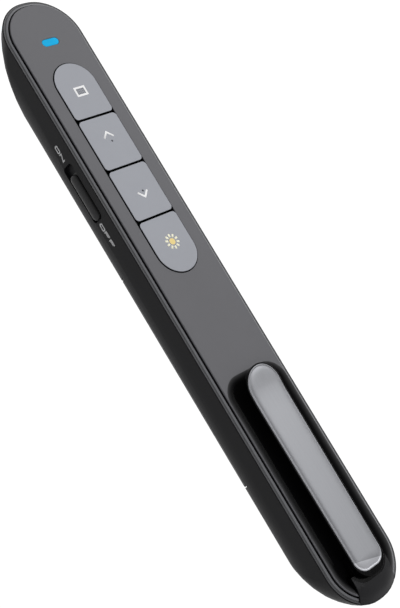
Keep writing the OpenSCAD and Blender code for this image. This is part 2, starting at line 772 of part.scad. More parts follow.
module battery_jacket() {
    color([0.1, 0.25, 0.5]) translate([0, 0, cell_z]) difference() {
        rod_y(cell_r, cell_back + 0.2, cell_front - 0.2);
        rod_y(cell_r - jacket_t, cell_back, cell_front);
    }
}

module positive_contact() {
    color("gold") {
        block(-contact_hw, contact_hw, bay_front - plate_t, bay_front, cell_z - 3.2,
              max(cell_z + 3.2, board_top + contact_t));
        block(strip_x, strip_x + 1, bay_front - plate_t, board_back + 1, board_top, board_top + contact_t);
    }
}

module negative_contact() {
    rail_z = board_top + 0.6;
    rail_top = rail_z + 1.2;
    edge = lead_x + contact_t;
    color("gold") {
        block(-contact_hw, edge, bay_back, bay_back + plate_t, rail_z, rail_top);
        block(-contact_hw, contact_hw, bay_back, bay_back + plate_t, cell_z - 2.8, rail_top);
        block(lead_x, edge, bay_back, board_back + 1.5, rail_z, rail_top);
        block(lead_x, edge, board_back, board_back + 1.5, board_top, rail_top);
        block(board_hw - 0.8, edge, board_back, board_back + 1.5, board_top, board_top + contact_t);
    }
}

// A coil of round wire about the Y axis, from one place to another
module coil(r, wire, from, to, turns) {
    sides = 8;
    per_turn = 14;
    rings = turns * per_turn;
    pts = [for (k = [0 : rings]) let (a = 360 * k / per_turn, y = from + (to - from) * k / rings)
           for (j = [0 : sides - 1]) let (b = 360 * j / sides, q = r + wire * cos(b))
           [q * cos(a), y + wire * sin(b), q * sin(a)]];
    walls = [for (k = [0 : rings - 1]) for (j = [0 : sides - 1]) let (n = (j + 1) % sides)
             [k * sides + j, (k + 1) * sides + j, (k + 1) * sides + n, k * sides + n]];
    ends = [[for (j = [0 : sides - 1]) j], [for (j = [sides - 1 : -1 : 0]) rings * sides + j]];
    polyhedron(pts, concat(walls, ends));
}

module negative_spring() {
    color("silver") translate([0, 0, cell_z])
        coil(spring_r, wire_r, bay_back + plate_t + wire_r, cell_back - wire_r, 3);
}

// ---- receiver -------------------------------------------------------------------------------

module receiver_cap() {
    color([0.1, 0.1, 0.11]) difference() {
        intersection() {
            body_form(cap_recess);
            translate([0, dock_front - plug_clear - cap_len / 2, 0]) linear_extrude(plug_z + cap_t / 2)
                round_rect(cap_hw, cap_len / 2, -cap_len / 2, 0.8);
        }
        block(-plug_w / 2, plug_w / 2, dock_back, plug_front, plug_z - plug_t / 2, plug_z + plug_t / 2);
    }
}

module receiver_shell() {
    back = dock_back + plug_clear;
    inner = plug_t / 2 - plug_wall;
    color("silver") translate([0, 0, plug_z]) difference() {
        block(-plug_w / 2, plug_w / 2, back, plug_front, -plug_t / 2, plug_t / 2);
        block(plug_wall - plug_w / 2, plug_w / 2 - plug_wall, back - 1, plug_front + 1, -inner, inner);
        for (s = [-1, 1]) block(s * 2.9 - 1.1, s * 2.9 + 1.1, back + 3, back + 5, -plug_t, plug_t);
    }
}

module receiver_tongue() {
    w = plug_w / 2 - plug_wall;
    inner = plug_t / 2 - plug_wall;
    color([0.9, 0.9, 0.88]) translate([0, 0, plug_z]) union() {
        block(-w, w, dock_back + plug_clear + 0.4, plug_front, 0.1, inner);
        block(-w, w, plug_front - 2, plug_front, -inner, 0.2);
    }
}

bottom_case();
top_cover();
trim_ring();
battery_door();
tail_block();
clip_arm();
clip_plate();
clip_pin();
clip_spring();
key_screen();
key_page_up();
key_page_down();
key_laser();
main_board();
tact_switches();
slide_switch();
switch_knob();
led_chip();
led_lens();
laser_barrel();
laser_diode();
laser_lens();
laser_window();
radio_chip();
crystal();
board_parts();
board_screws();
battery_cell();
battery_jacket();
positive_contact();
negative_spring();
negative_contact();
case_screws();
tail_screws();
receiver_cap();
receiver_shell();
receiver_tongue();
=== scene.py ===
"""Wireless presentation clicker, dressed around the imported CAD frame.

Lengths are millimetres in the CAD frame, where +Y points to the nose and +Z is up, on the keys' side.
MM turns them into metres.
"""

import json
import math

import bmesh
import bpy
from mathutils import Matrix, Vector

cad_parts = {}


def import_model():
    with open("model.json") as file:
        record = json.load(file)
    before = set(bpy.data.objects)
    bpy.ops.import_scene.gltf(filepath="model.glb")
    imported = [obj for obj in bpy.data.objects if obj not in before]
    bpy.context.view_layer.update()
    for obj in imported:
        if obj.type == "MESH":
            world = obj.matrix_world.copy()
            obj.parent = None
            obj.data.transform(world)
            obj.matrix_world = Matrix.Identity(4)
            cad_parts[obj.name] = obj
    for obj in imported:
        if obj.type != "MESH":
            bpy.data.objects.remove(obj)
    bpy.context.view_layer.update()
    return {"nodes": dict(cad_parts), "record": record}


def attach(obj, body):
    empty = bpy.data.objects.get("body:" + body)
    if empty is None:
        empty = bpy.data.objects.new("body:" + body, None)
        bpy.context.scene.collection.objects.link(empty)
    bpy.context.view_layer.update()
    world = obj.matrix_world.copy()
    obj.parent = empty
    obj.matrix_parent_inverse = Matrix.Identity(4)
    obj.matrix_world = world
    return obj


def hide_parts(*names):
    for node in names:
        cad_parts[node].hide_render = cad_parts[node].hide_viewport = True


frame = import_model()
nodes = frame["nodes"]
MM = 0.001

# ---------------------------------------------------------------- sizes

# These are the CAD source's own.
HW = 9.85                   # half width of the body
NOSE_Y = 71.32              # nose tip
TAIL_Y = -NOSE_Y            # tail tip
BODY_H = 13.3               # height of the top face
END_R = 9.3                 # corner radius in plan
RIM_Z = 12.3                # where the case ends and the trim starts
UNDER_Z = 12.1              # underside of the cover
COVER_IN = 1.35             # from the body's outline to the cover's edge
PANEL_HW = 7.7              # half width of the sunk panel
PANEL_FRONT = -19.62
PANEL_BACK = TAIL_Y + 2.15
PANEL_Z = 12.5              # floor of the sunk panel
NOTCH_HW, NOTCH_Y = 5.55, -64.32     # room in the cover for the tail block's tongue
NECK_HW, NECK_Y = 4.25, -60.62       # and for its neck
KEY_MID = 29.8
KEY_R = 5.3                 # half width of the key opening
KEY_HALF = 20.22            # from the middle of the keys to the centre of the opening's round ends
KEY_TOP = 13.5
LED_Y, LED_W, LED_D = 60.82, 4.2, 1.6      # middle, width and depth of the indicator's opening
ARM_HW, ARM_TAPER = 4.65, 0.3              # half width of the clip's front, and what its root is narrower
ARM_TOP = 15.2
ARM_END, ARM_TIP = -66.42, -19.02
FLARE, FLARE_LEN = 1.2, 8.0                # how far the clip's front rises, and over what length
KNOB_Y, KNOB_Z = 27.8, 8.9                 # middle of the side switch

# These are the scene's.
COVER_LIP = 2.5             # from the body's outline to the inside of the cover's edge
LED_CLEAR = 0.05            # around the lens
PLATE_BORDER = 0.3          # arm left free beside the plate
PLATE_GAP = 1.4             # arm left free behind it
PLATE_END_R, PLATE_SINK = 2.8, 0.35
INK = 0.02                  # how far a print stands above its surface
FLOOR_Z = -32               # below the reach of the open door

# ---------------------------------------------------------------- materials


class Shader:
    """A material with a Principled shader, and short ways to add nodes to it."""

    def __init__(self, name, colour, roughness, **sockets):
        self.material = bpy.data.materials.new(name)
        self.material.use_nodes = True
        self.tree = self.material.node_tree
        self.bsdf = self.tree.nodes["Principled BSDF"]
        self.bsdf.inputs["Base Color"].default_value = (*colour, 1)
        self.bsdf.inputs["Roughness"].default_value = roughness
        for socket, value in sockets.items():
            self.bsdf.inputs[socket.replace("_", " ")].default_value = value
        self.place = self.node("ShaderNodeTexCoord").outputs["Object"]

    def node(self, kind, links=(), **settings):
        made = self.tree.nodes.new(kind)
        for key, value in settings.items():
            setattr(made, key, value)
        for socket, value in dict(links).items():
            if isinstance(value, bpy.types.NodeSocket):
                self.tree.links.new(value, made.inputs[socket])
            else:
                made.inputs[socket].default_value = value
        return made

    def noise(self, size_mm, detail=3.0, stretch=None):
        """Noise whose features are about size_mm across."""
        place = self.place
        if stretch:
            place = self.node("ShaderNodeVectorMath", {0: place, 1: stretch}, operation="MULTIPLY").outputs[0]
        return self.node("ShaderNodeTexNoise",
                         {"Vector": place, "Scale": 1 / (size_mm * MM), "Detail": detail}).outputs["Fac"]

    def axes(self):
        """X, Y and Z on the piece, in metres."""
        return self.node("ShaderNodeSeparateXYZ", {"Vector": self.place}).outputs

    def calc(self, operation, first, second=0.0):
        return self.node("ShaderNodeMath", {0: first, 1: second}, operation=operation).outputs[0]

    def ramp(self, value, low, high, from_low=0.3, from_high=0.7):
        """Stretches a value, by default a noise's usual range, to run from low to high."""
        return self.node("ShaderNodeMapRange", {"Value": value, "From Min": from_low, "From Max": from_high,
                                                "To Min": low, "To Max": high}).outputs["Result"]

    def mix(self, factor, first, second):
        made = self.node("ShaderNodeMix", {0: factor}, data_type="RGBA")
        for socket, colour in ((6, first), (7, second)):
            if isinstance(colour, bpy.types.NodeSocket):
                self.tree.links.new(colour, made.inputs[socket])
            else:
                made.inputs[socket].default_value = (*colour, 1)
        return made.outputs[2]

    def feed(self, socket, value):
        self.tree.links.new(value, self.bsdf.inputs[socket])
        return self

    def bump(self, height, depth_mm, strength=1.0):
        made = self.node("ShaderNodeBump",
                         {"Height": height, "Distance": depth_mm * MM, "Strength": strength})
        return self.feed("Normal", made.outputs["Normal"])


def srgb(*values):
    """Linear colour from 0-255 screen values."""
    return tuple((v / 255 / 12.92) if v <= 10 else ((v / 255 + 0.055) / 1.055) ** 2.4 for v in values)


def tinted(colour, factor):
    return tuple(min(1, c * factor) for c in colour)


def moulded(name, colour, roughness, grain=0.12, depth=0.004, spread=0.05, **sockets):
    """Moulded plastic: a fine spark-eroded grain, slight clouding and a little uneven gloss."""
    s = Shader(name, colour, roughness, **sockets)
    clouds = s.noise(9.0, 4.0)
    s.feed("Base Color", s.mix(s.ramp(clouds, 0, 1), tinted(colour, 1 - spread), tinted(colour, 1 + spread)))
    grains = s.noise(grain, 2.0)
    s.feed("Roughness", s.ramp(grains, roughness - 0.05, roughness + 0.05))
    s.bump(grains, depth)
    return s.material


def polished(name, colour, roughness, **sockets):
    """Polished plastic with faint clouding and hairline wipe marks."""
    s = Shader(name, colour, roughness, **sockets)
    clouds = s.noise(6.0, 3.0)
    s.feed("Base Color", s.mix(s.ramp(clouds, 0, 1), tinted(colour, 0.85), tinted(colour, 1.15)))
    wipes = s.noise(0.5, 3.0, (1, 0.06, 1))
    s.feed("Roughness", s.ramp(wipes, roughness * 0.8, roughness * 1.3))
    s.bump(clouds, 0.01, 0.5)
    return s.material


def metal(name, colour, roughness, stretch=(1, 0.05, 1), grain=0.2, depth=0.002, spread=0.12, **sockets):
    """Metal with a drawn or brushed grain."""
    s = Shader(name, colour, roughness, Metallic=1.0, **sockets)
    lines = s.noise(grain, 4.0, stretch)
    s.feed("Base Color", s.mix(s.ramp(lines, 0, 1), tinted(colour, 1 - spread), tinted(colour, 1 + spread)))
    s.feed("Roughness", s.ramp(lines, roughness * (1 - 1.6 * spread), roughness * (1 + 1.6 * spread)))
    s.bump(lines, depth)
    return s.material


def board_green():
    """Solder mask over copper tracks, with a faint weave below it."""
    s = Shader("board_green", srgb(16, 84, 48), 0.3)
    tracks = s.node("ShaderNodeTexBrick", {"Vector": s.place, "Scale": 1 / (2.4 * MM), "Mortar Size": 0.06,
                                           "Color1": (0, 0, 0, 1), "Color2": (0, 0, 0, 1),
                                           "Mortar": (1, 1, 1, 1)}).outputs["Fac"]
    weave = s.noise(0.35, 2.0)
    shade = s.mix(s.ramp(weave, 0, 1), srgb(12, 72, 40), srgb(20, 96, 56))
    s.feed("Base Color", s.mix(tracks, shade, srgb(40, 128, 74)))
    s.bump(tracks, 0.03)
    return s.material


def grey_with_painted_shade_below(name, colour, gap_shade_colour, low, high):
    """Grey key with painted shade: dark below a height on the piece, for its sides down in the shaded gap."""
    s = Shader(name, colour, 0.4)
    clouds = s.ramp(s.noise(9.0, 4.0), 0, 1)
    cap = s.mix(clouds, tinted(colour, 0.98), tinted(colour, 1.02))
    # Painted shade: below a height the key turns dark, as shade in the gap around it.
    s.feed("Base Color", s.mix(s.ramp(s.axes()["Z"], 0, 1, low * MM, high * MM), gap_shade_colour, cap))
    s.bump(s.noise(0.12, 2.0), 0.003)
    return s.material


MATERIALS = {
    "case_black": moulded("case_black", srgb(25, 25, 27), 0.45, grain=0.16, Specular_IOR_Level=0.1),
    "cover_grey": moulded("cover_grey", srgb(104, 104, 109), 0.42, grain=0.14, depth=0.003, spread=0.03),
    "trim_grey": moulded("trim_grey", srgb(134, 135, 139), 0.34, grain=0.1, depth=0.002, spread=0.03),
    "gloss_black": polished("gloss_black", srgb(6, 6, 7), 0.12, Specular_IOR_Level=0.12),
    "clip_silver": metal("clip_silver", srgb(160, 161, 165), 0.5, grain=0.3, depth=0.0004, spread=0.03),
    "steel": metal("steel", srgb(190, 190, 192), 0.28),
    # The dark colour here is painted shade on the keys' sides.
    "key_grey": grey_with_painted_shade_below("key_grey", srgb(183, 186, 195), srgb(10, 10, 11),
                         low=KEY_TOP - 0.12, high=KEY_TOP - 0.07),
    "board_green": board_green(),
    "knob_grey": moulded("knob_grey", srgb(58, 58, 59), 0.45, grain=0.14, depth=0.003,
                         Specular_IOR_Level=0.2),
    "led_white": moulded("led_white", srgb(235, 235, 225), 0.35),
    "led_blue": polished("led_blue", srgb(14, 160, 222), 0.35, Specular_IOR_Level=0.1,
                         Emission_Color=(*srgb(0, 190, 234), 1), Emission_Strength=0.4),
    "brass": metal("brass", srgb(196, 160, 86), 0.3),
    "lens_glass": polished("lens_glass", srgb(225, 235, 240), 0.04, Transmission_Weight=0.9),
    "window_red": polished("window_red", srgb(90, 10, 10), 0.06),
    "chip_black": moulded("chip_black", srgb(24, 24, 26), 0.5),
    "chip_tan": moulded("chip_tan", srgb(150, 118, 84), 0.45),
    "jacket_blue": polished("jacket_blue", srgb(28, 66, 132), 0.25),
    "gold": metal("gold", srgb(214, 176, 96), 0.28),
    "tongue_white": moulded("tongue_white", srgb(228, 228, 222), 0.4),
}


# Painted shade: screen levels on the way from the panel's floor, 0, to the cover's top, 1, darkening the roll
# toward black. Its two ends come first.
PANEL_PAINTED_SHADE = ((0.0, 14), (1.0, 102), (0.35, 15), (0.5, 19), (0.7, 28), (0.85, 46), (0.94, 58), (0.99, 74))


def panel_roll_painted_shade():
    """Cover grey at the top of the panel's roll, gloss black toward its floor; the fall from grey to black along
    the roll is painted shade.
    """
    s = Shader("panel_painted_shade", srgb(8, 8, 9), 0.2, Specular_IOR_Level=0.04)
    waver = s.ramp(s.noise(7.0, 3.0), -0.01 * MM, 0.01 * MM)
    depth = s.ramp(s.calc("ADD", waver, s.axes()["Z"]), 0, 1, PANEL_Z * MM, BODY_H * MM)
    # Painted shade: the ramp darkens the roll from cover grey toward black at the floor.
    painted_shade_ramp = s.node("ShaderNodeValToRGB", {"Fac": depth})
    stops = painted_shade_ramp.color_ramp.elements
    for place, level in PANEL_PAINTED_SHADE:
        stop = stops[0] if place == 0 else stops[-1] if place == 1 else stops.new(place)
        stop.color = (*srgb(level, level, level + 1), 1)
    s.feed("Base Color", painted_shade_ramp.outputs["Color"])
    s.feed("Roughness", s.ramp(depth, 0.2, 0.42, 0, 1))
    return s.material


def tail_black(boundary=-66.9, forward=2.3, straight=2.0, edge=5.45, wall=5.3):
    """Satin black at the tail's tip, gloss black on its walls and in front of a boundary across its top, partly
    as painted shade for the shaded walls and the strip under the clip arm's end.

    The boundary is straight near the middle and curves forward toward the edge.
    """
    s = Shader("tail_black", srgb(40, 40, 42), 0.45, Specular_IOR_Level=0.2)
    parts = s.axes()
    beside = s.calc("ABSOLUTE", parts["X"])
    curve = s.calc("POWER", s.ramp(beside, 0, 1, straight * MM, edge * MM), 2.0)
    line = s.ramp(curve, boundary * MM, (boundary + forward) * MM, 0, 1)
    front = s.ramp(s.calc("SUBTRACT", parts["Y"], line), 0, 1, -0.05 * MM, 0.1 * MM)
    side = s.ramp(beside, 0, 1, wall * MM, (wall + 0.1) * MM)
    # Painted shade, in part: gloss black on the walls and in front of the boundary stands for the shade there.
    gloss = s.calc("MAXIMUM", front, side)
    clouds = s.mix(s.ramp(s.noise(7.0, 3.0), 0, 1), srgb(38, 38, 40), srgb(44, 44, 46))
    s.feed("Base Color", s.mix(gloss, clouds, srgb(6, 6, 7)))
    s.feed("Roughness", s.ramp(gloss, 0.45, 0.15, 0, 1))
    s.bump(s.noise(0.14, 2.0), 0.003)
    return s.material


def silver_with_painted_facet_highlight():
    """Brushed silver of the plate, with a painted highlight: a brighter colour on the bevel at its tail end."""
    s = Shader("plate_silver", srgb(160, 161, 165), 0.5, Metallic=1.0)
    lines = s.ramp(s.noise(0.3, 4.0, (1, 0.05, 1)), 0, 1)
    crease = (ARM_END + PLATE_GAP + FACET_LEN) * MM
    parts = s.axes()
    along = s.calc("ADD", parts["Y"], s.calc("MULTIPLY", parts["X"], FACET_TURN))
    # Painted highlight: this mask brightens the colour on the bevel at the plate's tail end.
    cut = s.ramp(along, 1, 0, crease - 0.08 * MM, crease + 0.02 * MM)
    brushed = s.mix(lines, srgb(157, 158, 162), srgb(163, 164, 168))
    s.feed("Base Color", s.mix(cut, brushed, srgb(206, 207, 212)))
    s.feed("Roughness", s.ramp(lines, 0.47, 0.53, 0, 1))
    return s.material


panel_painted_shade = panel_roll_painted_shade()
# Painted shade: dark colour for the cover's lip and outer wall down in the shaded groove by the trim; it also
# closes the trim's underside.
groove_shade_black = moulded("groove_shade_black", srgb(36, 36, 38), 0.6, Specular_IOR_Level=0.1)
ledge_grey = moulded("ledge_grey", srgb(82, 83, 86), 0.36, grain=0.1, depth=0.002, spread=0.03)
# Painted shade: dark colour for the lower walls of the key and light openings, where the gap is in shade.
gap_shade_black = moulded("gap_shade_black", srgb(8, 8, 9), 0.6, Specular_IOR_Level=0.1)


def ink(name, colour, glow=0.0, glow_colour=(255, 255, 255)):
    """Printing ink. A bright one glows a little as painted light, so that a thin line stays readable."""
    return moulded(name, srgb(*colour), 0.5,
                   Emission_Color=(*srgb(*glow_colour), 1), Emission_Strength=glow)


print_white = ink("print_white", (255, 255, 255), 0.25)
print_grey = ink("print_grey", (142, 144, 149))
# A dark colour for the small dot on the page keys, drawn flat on the key's top.
dark_dot = ink("dark_dot", (74, 76, 84))
legend_grey = ink("legend_grey", (232, 233, 235))
sun_gold = ink("sun_gold", (255, 228, 150), 0.22, (255, 225, 140))
sun_pale = ink("sun_pale", (255, 250, 222), 0.35, (255, 250, 220))
SLOTS = {row["node"]: row["material_slot"] for row in frame["record"]["subparts"]}

# ---------------------------------------------------------------- CAD nodes

SHARP = math.radians(28)             # edges sharper than this are rounded
COPLANAR = math.radians(0.4)         # faces that turn less than this are joined
SAME_SPOT = 2e-6                     # metres


def soften(piece, width, segments):
    bevel = piece.modifiers.new("edge", "BEVEL")
    bevel.width = width * MM
    bevel.segments = segments
    bevel.limit_method = "ANGLE"
    bevel.angle_limit = SHARP
    bevel.use_clamp_overlap = True


def shade(piece):
    normals = piece.modifiers.new("normals", "WEIGHTED_NORMAL")
    normals.weight = 80


def dress(name, edge, segments=2):
    """Gives a CAD node its material, rounded edges and smooth shading."""
    piece = nodes[name]
    piece.data.materials.clear()
    piece.data.materials.append(MATERIALS[SLOTS[name]])
    for face in piece.data.polygons:
        face.use_smooth = True
    if "custom_normal" in piece.data.attributes:
        piece.data.attributes.remove(piece.data.attributes["custom_normal"])
    weld = piece.modifiers.new("weld", "WELD")
    weld.merge_threshold = SAME_SPOT
    flat = piece.modifiers.new("flat", "DECIMATE")
    flat.decimate_type = "DISSOLVE"
    flat.angle_limit = COPLANAR
    soften(piece, edge, segments)
    shade(piece)


# Radii of the rounded edges. The other nodes get SMALL_EDGE.
SMALL_EDGE = 0.05
EDGES = {"bottom_case": 0.1, "top_cover": 0.15, "trim_ring": 0.06, "battery_door": 0.1, "tail_block": 0.2,
         "clip_arm": 0.2, "clip_plate": 0.25, "key_screen": 0.22, "key_page_up": 0.22, "key_page_down": 0.22,
         "key_laser": 0.22, "switch_knob": 0.25, "led_lens": 0.1}
for name in nodes:
    dress(name, EDGES.get(name, SMALL_EDGE))
nodes["tail_block"].data.materials[0] = tail_black()

# ---------------------------------------------------------------- forms


def arc(cx, cy, r, start, end, steps):
    turns = [math.radians(start + (end - start) * k / steps) for k in range(steps + 1)]
    return [(cx + r * math.cos(a), cy + r * math.sin(a)) for a in turns]


def open_slab(w, front, back, front_r, back_r, cut, steps=18):
    """A long outline with round corners, open at the back between x = cut and x = -cut."""
    start = 360 - math.degrees(math.acos((cut - (w - back_r)) / back_r))
    return (arc(w - back_r, back + back_r, back_r, start, 360, steps)
            + arc(w - front_r, front - front_r, front_r, 0, 90, steps)
            + arc(front_r - w, front - front_r, front_r, 90, 180, steps)
            + arc(back_r - w, back + back_r, back_r, 180, 540 - start, steps))


def body_plan(inset):
    return open_slab(HW - inset, NOSE_Y - inset, TAIL_Y + inset, END_R - inset, END_R - inset, NOTCH_HW)


def panel_plan(spread, corner=4.0):
    return open_slab(PANEL_HW + spread, PANEL_FRONT + spread, PANEL_BACK - spread, corner + spread,
                     END_R - 2 + spread, NOTCH_HW)


def capsule(half, r, y=0.0, along_x=False, steps=20):
    """An outline with two round ends, whose centres lie at plus and minus half."""
    ends = arc(0, half, r, 0, 180, steps) + arc(0, -half, r, 180, 360, steps)
    return [((v, u + y) if along_x else (u, v + y)) for u, v in ends]


class Form:
    """A mesh built from rows of points, in millimetres until it becomes a piece."""

    def __init__(self):
        self.bm = bmesh.new()

    def row(self, plan, z):
        return [self.bm.verts.new((x, y, z(x, y) if callable(z) else z)) for x, y in plan]

    def bridge(self, first, second, closed=True, material=0):
        count = len(first)
        for k in range(count if closed else count - 1):
            n = (k + 1) % count
            self.bm.faces.new((first[k], first[n], second[n], second[k])).material_index = material

    def skin(self, rows, closed=True, material=0):
        for first, second in zip(rows, rows[1:]):
            self.bridge(first, second, closed, material)

    def fill(self, *rings, normal=(0, 0, 1), material=0):
        """Closes a flat region. The first ring is its border and the others are its holes."""
        edges = []
        for ring in rings:
            for a, b in zip(ring, ring[1:] + ring[:1]):
                edges.append(self.bm.edges.get((a, b)) or self.bm.edges.new((a, b)))
        made = bmesh.ops.triangle_fill(self.bm, use_beauty=True, edges=edges, normal=normal)
        for item in made["geom"]:
            if isinstance(item, bmesh.types.BMFace):
                item.material_index = material

    def stroke(self, path, half, place, closed=False, material=0):
        """A printed line along a path, with mitred corners. place turns (u, v, height) into a point."""
        rows, count = [], len(path)
        for k, (u, v) in enumerate(path):
            normals = []
            for a, b in ((k - 1, k), (k, k + 1)):
                if closed or (a >= 0 and b < count):
                    du, dv = path[b % count][0] - path[a][0], path[b % count][1] - path[a][1]
                    normals.append((-dv / math.hypot(du, dv), du / math.hypot(du, dv)))
            nu, nv = sum(n[0] for n in normals), sum(n[1] for n in normals)
            reach = half / (nu * normals[0][0] + nv * normals[0][1])
            rows.append([self.bm.verts.new(place(u + side * nu * reach, v + side * nv * reach, lift))
                         for side, lift in ((-1, -INK), (1, -INK), (1, INK), (-1, INK))])
        if closed:
            rows.append(rows[0])
        else:
            for end in (rows[0], rows[-1]):
                self.bm.faces.new(end).material_index = material
        self.skin(rows, material=material)

    def pad(self, plan, material=0):
        """A printed patch on a key's top."""
        rows = [self.row(plan, KEY_TOP - INK), self.row(plan, KEY_TOP + INK)]
        self.skin(rows, material=material)
        for row in rows:
            self.bm.faces.new(row).material_index = material

    def piece(self, name, body, slot, *materials, replaces=()):
        bmesh.ops.remove_doubles(self.bm, verts=self.bm.verts, dist=1e-4)
        bmesh.ops.recalc_face_normals(self.bm, faces=self.bm.faces)
        bmesh.ops.scale(self.bm, vec=(MM, MM, MM), verts=self.bm.verts)
        for face in self.bm.faces:
            face.smooth = True
        mesh = bpy.data.meshes.new(name)
        self.bm.to_mesh(mesh)
        self.bm.free()
        for material in materials or (MATERIALS[slot],):
            mesh.materials.append(material)
        made = bpy.data.objects.new(name, mesh)
        bpy.context.scene.collection.objects.link(made)
        shade(made)
        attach(made, body)
        if replaces:
            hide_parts(*replaces)


# ---------------------------------------------------------------- cover, trim and clip plate

# Profiles. Each pair is a distance in plan and a height. The distance runs inward from the body's outline,
# outward from the panel's outline and outward from an opening's outline.
COVER_EDGE = ((1.35, 13.1), (1.37, 13.19), (1.42, 13.26), (1.5, 13.3))
PANEL_ROLL = ((0.62, 13.3), (0.4, 13.285), (0.15, 13.25), (-0.12, 13.18), (-0.4, 13.07), (-0.65, 12.95),
              (-0.9, 12.82), (-1.15, 12.71), (-1.4, 12.61), (-1.65, 12.53), (-1.9, PANEL_Z))
OPENING_EDGE = ((0.1, BODY_H), (0.04, 13.28), (0.01, 13.24), (0, 13.18), (0, UNDER_Z))


def cover():
    """Grey cover plate with a rolled edge, openings for keys and light, and a panel that rolls down to black.
    Painted shade darkens the panel's roll, the openings' lower walls and the outer wall below the edge.
    """
    f = Form()
    lip_z = RIM_Z + 0.1
    lip = ((COVER_LIP, UNDER_Z), (COVER_LIP, lip_z), (COVER_IN, lip_z))
    edge = [f.row(body_plan(inset), z) for inset, z in lip + COVER_EDGE]
    roll = [f.row(panel_plan(spread), z) for spread, z in PANEL_ROLL]
    # Painted shade: the lip and the outer wall up to the rolled edge take the dark colour of the shaded groove.
    f.skin(edge[:len(lip) + 1], closed=False, material=2)
    f.skin(edge[len(lip):], closed=False)
    # Painted shade: the panel's roll takes the ramp that falls from grey to black.
    f.skin(roll, closed=False, material=1)
    openings = []
    led_half = (LED_W - LED_D) / 2
    for plan in (lambda grow: capsule(KEY_HALF, KEY_R + grow, KEY_MID),
                 lambda grow: capsule(led_half, LED_D / 2 + LED_CLEAR + grow, LED_Y, along_x=True, steps=12)):
        rows = [f.row(plan(grow), z) for grow, z in OPENING_EDGE]
        f.skin(rows[:-1])
        # Painted shade: the lower walls of each opening are dark for the shade in the gap.
        f.skin(rows[-2:], material=3)
        openings.append(rows)
    f.fill(edge[-1] + roll[0][::-1], *[rows[0] for rows in openings])
    notch = [(-NOTCH_HW, NOTCH_Y), (-NECK_HW, NOTCH_Y), (-NECK_HW, NECK_Y),
             (NECK_HW, NECK_Y), (NECK_HW, NOTCH_Y), (NOTCH_HW, NOTCH_Y)]
    top, under = f.row(notch, PANEL_Z), f.row(notch, UNDER_Z)
    f.bridge(top, under, closed=False, material=1)
    f.fill(roll[-1] + top, material=1)
    f.fill(edge[0] + under, *[rows[-1] for rows in openings])
    for here, across in ((0, -1), (-1, 0)):
        f.fill([row[here] for row in roll[::-1] + edge[::-1]] + [under[across], top[across]],
               normal=(1, 0, 0))
    f.piece("cover", "body", "cover_grey", MATERIALS["cover_grey"], panel_painted_shade, groove_shade_black, gap_shade_black,
            replaces=("top_cover",))


TRIM_OUTER = ((1.12, RIM_Z), (0.0, RIM_Z), (0.0, 12.33), (0.03, 12.39), (0.1, 12.42), (0.2, 12.45))
TRIM_LEDGE = ((0.28, 12.475), (0.36, 12.49), (0.42, 12.48), (0.46, 12.44), (0.53, 12.43), (0.58, 12.47),
              (0.62, 12.55), (0.69, 12.64))
TRIM_SLOPE = ((0.8, 12.71), (0.95, 12.78), (1.02, 12.81), (1.07, 12.81), (1.1, 12.77))


def trim():
    """Bevelled band between case and cover: a dark outer edge, a ledge, a fine groove and a bright slope."""
    f = Form()
    rows = [f.row(body_plan(inset), z) for inset, z in TRIM_OUTER + TRIM_LEDGE + TRIM_SLOPE]
    ledge_at = len(TRIM_OUTER) - 1
    slope_at = ledge_at + len(TRIM_LEDGE)
    f.skin(rows[:ledge_at + 1], closed=False, material=3)
    f.skin(rows[ledge_at:slope_at + 1], closed=False, material=1)
    f.skin(rows[slope_at:], closed=False)
    f.skin([rows[-1], rows[0]], closed=False, material=2)
    for end in (0, -1):
        f.fill([row[end] for row in rows], normal=(1, 0, 0))
    f.piece("trim", "body", "trim_grey", MATERIALS["trim_grey"], ledge_grey, groove_shade_black,
            MATERIALS["case_black"], replaces=("trim_ring",))


def flare(y):
    """How far the clip's front has risen at y."""
    return FLARE * (max(0.0, y - ARM_TIP + FLARE_LEN) / FLARE_LEN) ** 2


def clip_plan(border, end, end_r, side_points=8):
    """Plan of the clip, drawn in by a border."""
    centre = ARM_TIP - ARM_HW
    front_w, back_w = max(0, ARM_HW - border), max(0, ARM_HW - ARM_TAPER - border)
    r = max(0.0, min(end_r, back_w))

    def side(sign, order):
        spots = [(k / side_points) ** 2 for k in range(1, side_points)][::order]
        return [(sign * (front_w + (back_w - front_w) * t), centre + (end + r - centre) * t) for t in spots]

    return (arc(0, centre, front_w, 0, 180, 24) + side(-1, 1) + arc(r - back_w, end + r, r, 180, 270, 10)
            + arc(back_w - r, end + r, r, 270, 360, 10) + side(1, -1))


# From the plate's outline inward, and above the arm's top.
PLATE_CROWN = ((0.0, -PLATE_SINK), (0.0, -0.02), (0.02, 0.04), (0.08, 0.1), (0.16, 0.13), (0.26, 0.12),
               (0.35, 0.06), (0.43, 0.06), (0.58, 0.16), (0.8, 0.25), (1.15, 0.33), (1.6, 0.385),
               (2.2, 0.425), (2.9, 0.45), (3.6, 0.46), (4.35, 0.47))
FACET_LEN, FACET_TURN, FACET_DROP = 1.7, 0.26, 0.32     # slanting bevel at the plate's tail end


